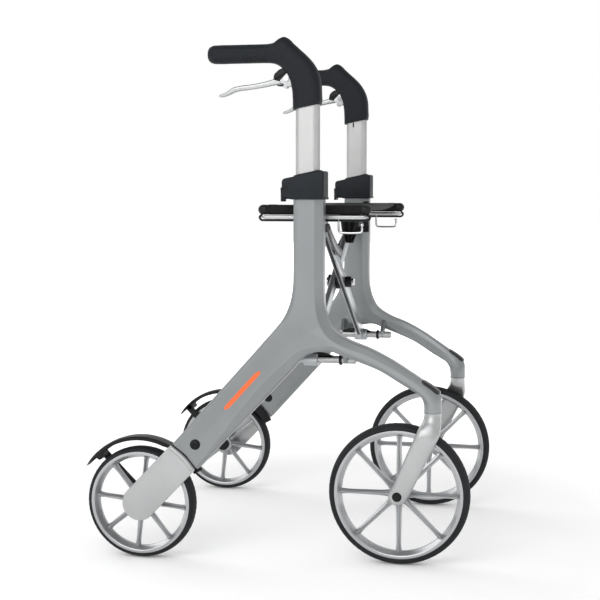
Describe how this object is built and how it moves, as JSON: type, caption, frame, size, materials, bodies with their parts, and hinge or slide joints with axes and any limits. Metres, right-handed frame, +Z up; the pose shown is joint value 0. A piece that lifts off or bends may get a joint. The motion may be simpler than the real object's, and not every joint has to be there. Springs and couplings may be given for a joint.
{
  "type": "rollator walker",
  "caption": "Wheeled walking frame that folds sideways on a crossed brace, with swivelling front wheels, height-adjustable brake handles, wheel guards and a fabric sling seat.",
  "frame": {"origin": "centre of the bounding box's bottom face, on the floor midway between the two sides", "axes": "+X forward, +Y to the user's left, +Z up"},
  "size_m": [0.686, 0.588, 0.9189],
  "materials": {
    "frame_grey": "satin metallic grey coat",
    "tube_silver": "fine anodised",
    "brace_silver": "satin",
    "cast_silver": "bead-blasted silver",
    "rim_silver": "silver moulded",
    "tyre": "matt rubber",
    "handle_rubber": "soft-touch",
    "dark_plastic": "fine grain",
    "black_plastic": "fine grain",
    "black_fabric": "plain weave nylon",
    "steel": "zinc plated"
  },
  "bodies": {
    "right_side": {"right_frame": "frame_grey", "right_clamp_collar": "dark_plastic", "right_front_cap": "black_plastic", "right_wheel_plate": "cast_silver", "right_rear_axle": "steel", "right_rear_hub_cap": "black_plastic", "right_leg_bolt": "black_plastic", "right_wheel_guard": "black_plastic", "right_pivot_tube": "tube_silver", "right_column_bracket": "black_plastic"},
    "right_handle_post": {"right_height_tube": "tube_silver", "right_handle": "handle_rubber", "right_lever_pin": "steel"},
    "right_brake": {"right_brake_lever": "cast_silver"},
    "right_clamp": {"right_clamp_lever": "dark_plastic"},
    "right_caster": {"right_caster_fork": "cast_silver", "right_front_axle": "steel", "right_fork_cap": "black_plastic"},
    "right_front_wheel": {"right_front_rim": "rim_silver", "right_front_tyre": "tyre"},
    "right_rear_wheel": {"right_rear_rim": "rim_silver", "right_rear_tyre": "tyre"},
    "right_shoe": {"right_brake_shoe": "black_plastic"},
    "right_link": {"right_guide_link": "dark_plastic"},
    "brace_a": {"brace_a": "brace_silver", "cross_bolt": "steel", "cross_hub": "black_plastic", "left_seat_rail": "tube_silver", "left_rail_sleeve": "black_fabric", "left_bag_hook": "steel", "seat_sling": "black_fabric", "lift_strap": "black_fabric"},
    "brace_b": {"brace_b": "brace_silver", "right_seat_rail": "tube_silver", "right_rail_sleeve": "black_fabric", "right_bag_hook": "steel"},
    "left_side": {"left_frame": "frame_grey", "left_clamp_collar": "dark_plastic", "left_front_cap": "black_plastic", "left_wheel_plate": "cast_silver", "left_rear_axle": "steel", "left_rear_hub_cap": "black_plastic", "left_leg_bolt": "black_plastic", "left_wheel_guard": "black_plastic", "left_pivot_tube": "tube_silver", "left_column_bracket": "black_plastic"},
    "left_handle_post": {"left_height_tube": "tube_silver", "left_handle": "handle_rubber", "left_lever_pin": "steel"},
    "left_brake": {"left_brake_lever": "cast_silver"},
    "left_clamp": {"left_clamp_lever": "dark_plastic"},
    "left_caster": {"left_caster_fork": "cast_silver", "left_front_axle": "steel", "left_fork_cap": "black_plastic"},
    "left_front_wheel": {"left_front_rim": "rim_silver", "left_front_tyre": "tyre"},
    "left_rear_wheel": {"left_rear_rim": "rim_silver", "left_rear_tyre": "tyre"},
    "left_shoe": {"left_brake_shoe": "black_plastic"},
    "left_link": {"left_guide_link": "dark_plastic"}
  },
  "joints": [
    {"name": "fold", "type": "hinge", "parent": "right_side", "child": "brace_a", "pos_m": [0.057, -0.205, 0.357], "axis": [1, 0, 0], "range_deg": [0, 50], "deforming": ["seat_sling", "lift_strap"]},
    {"name": "cross_pivot", "type": "hinge", "parent": "brace_a", "child": "brace_b", "pos_m": [0.066, 0, 0.481], "axis": [1, 0, 0], "range_deg": [-100, 0]},
    {"name": "left_lower_pivot", "type": "hinge", "parent": "brace_b", "child": "left_side", "pos_m": [0.075, 0.205, 0.357], "axis": [1, 0, 0], "range_deg": [0, 50]},
    {"name": "right_link_swing", "type": "hinge", "parent": "right_side", "child": "right_link", "pos_m": [0.0885, -0.214, 0.59], "axis": [1, 0, 0], "range_deg": [0, 100]},
    {"name": "right_handle_height", "type": "slide", "parent": "right_side", "child": "right_handle_post", "axis": [0, 0, 1], "range_m": [-0.09, 0.03]},
    {"name": "right_brake_squeeze", "type": "hinge", "parent": "right_handle_post", "child": "right_brake", "pos_m": [0.022, -0.24, 0.848], "axis": [0, 1, 0], "range_deg": [0, 18], "stiffness_Nm_per_rad": 0.8, "springref_deg": -8.59},
    {"name": "right_shoe_press", "type": "slide", "parent": "right_side", "child": "right_shoe", "axis": [-0.6906, 0, -0.7233], "range_m": [0, 0.0019]},
    {"name": "right_clamp_open", "type": "hinge", "parent": "right_side", "child": "right_clamp", "pos_m": [0.024, -0.24, 0.66], "axis": [0, 1, 0], "range_deg": [0, 100]},
    {"name": "right_caster_swivel", "type": "hinge", "parent": "right_side", "child": "right_caster", "pos_m": [0.276, -0.219, 0.262], "axis": [0, 0, 1], "continuous": true},
    {"name": "right_front_spin", "type": "hinge", "parent": "right_caster", "child": "right_front_wheel", "pos_m": [0.218, -0.22, 0.125], "axis": [0, 1, 0], "continuous": true},
    {"name": "right_rear_spin", "type": "hinge", "parent": "right_side", "child": "right_rear_wheel", "pos_m": [-0.239, -0.2725, 0.1], "axis": [0, 1, 0], "continuous": true},
    {"name": "left_link_swing", "type": "hinge", "parent": "left_side", "child": "left_link", "pos_m": [0.0465, 0.214, 0.59], "axis": [1, 0, 0], "range_deg": [-100, 0]},
    {"name": "left_handle_height", "type": "slide", "parent": "left_side", "child": "left_handle_post", "axis": [0, 0, 1], "range_m": [-0.09, 0.03]},
    {"name": "left_brake_squeeze", "type": "hinge", "parent": "left_handle_post", "child": "left_brake", "pos_m": [0.022, 0.24, 0.848], "axis": [0, 1, 0], "range_deg": [0, 18], "stiffness_Nm_per_rad": 0.8, "springref_deg": -8.59},
    {"name": "left_shoe_press", "type": "slide", "parent": "left_side", "child": "left_shoe", "axis": [-0.6906, 0, -0.7233], "range_m": [0, 0.0019]},
    {"name": "left_clamp_open", "type": "hinge", "parent": "left_side", "child": "left_clamp", "pos_m": [0.024, 0.24, 0.66], "axis": [0, 1, 0], "range_deg": [0, 100]},
    {"name": "left_caster_swivel", "type": "hinge", "parent": "left_side", "child": "left_caster", "pos_m": [0.276, 0.219, 0.262], "axis": [0, 0, 1], "continuous": true},
    {"name": "left_front_spin", "type": "hinge", "parent": "left_caster", "child": "left_front_wheel", "pos_m": [0.218, 0.22, 0.125], "axis": [0, 1, 0], "continuous": true},
    {"name": "left_rear_spin", "type": "hinge", "parent": "left_side", "child": "left_rear_wheel", "pos_m": [-0.239, 0.2725, 0.1], "axis": [0, 1, 0], "continuous": true}
  ],
  "couplings": [
    {"joint": "cross_pivot", "follows": "fold", "ratio": -2},
    {"joint": "left_lower_pivot", "follows": "fold", "ratio": 1},
    {"joint": "right_link_swing", "follows": "fold", "ratio": 2},
    {"joint": "right_shoe_press", "follows": "right_brake_squeeze", "m_per_rad": 0.00604},
    {"joint": "left_link_swing", "follows": "fold", "ratio": -2},
    {"joint": "left_shoe_press", "follows": "left_brake_squeeze", "m_per_rad": 0.00604}
  ]
}
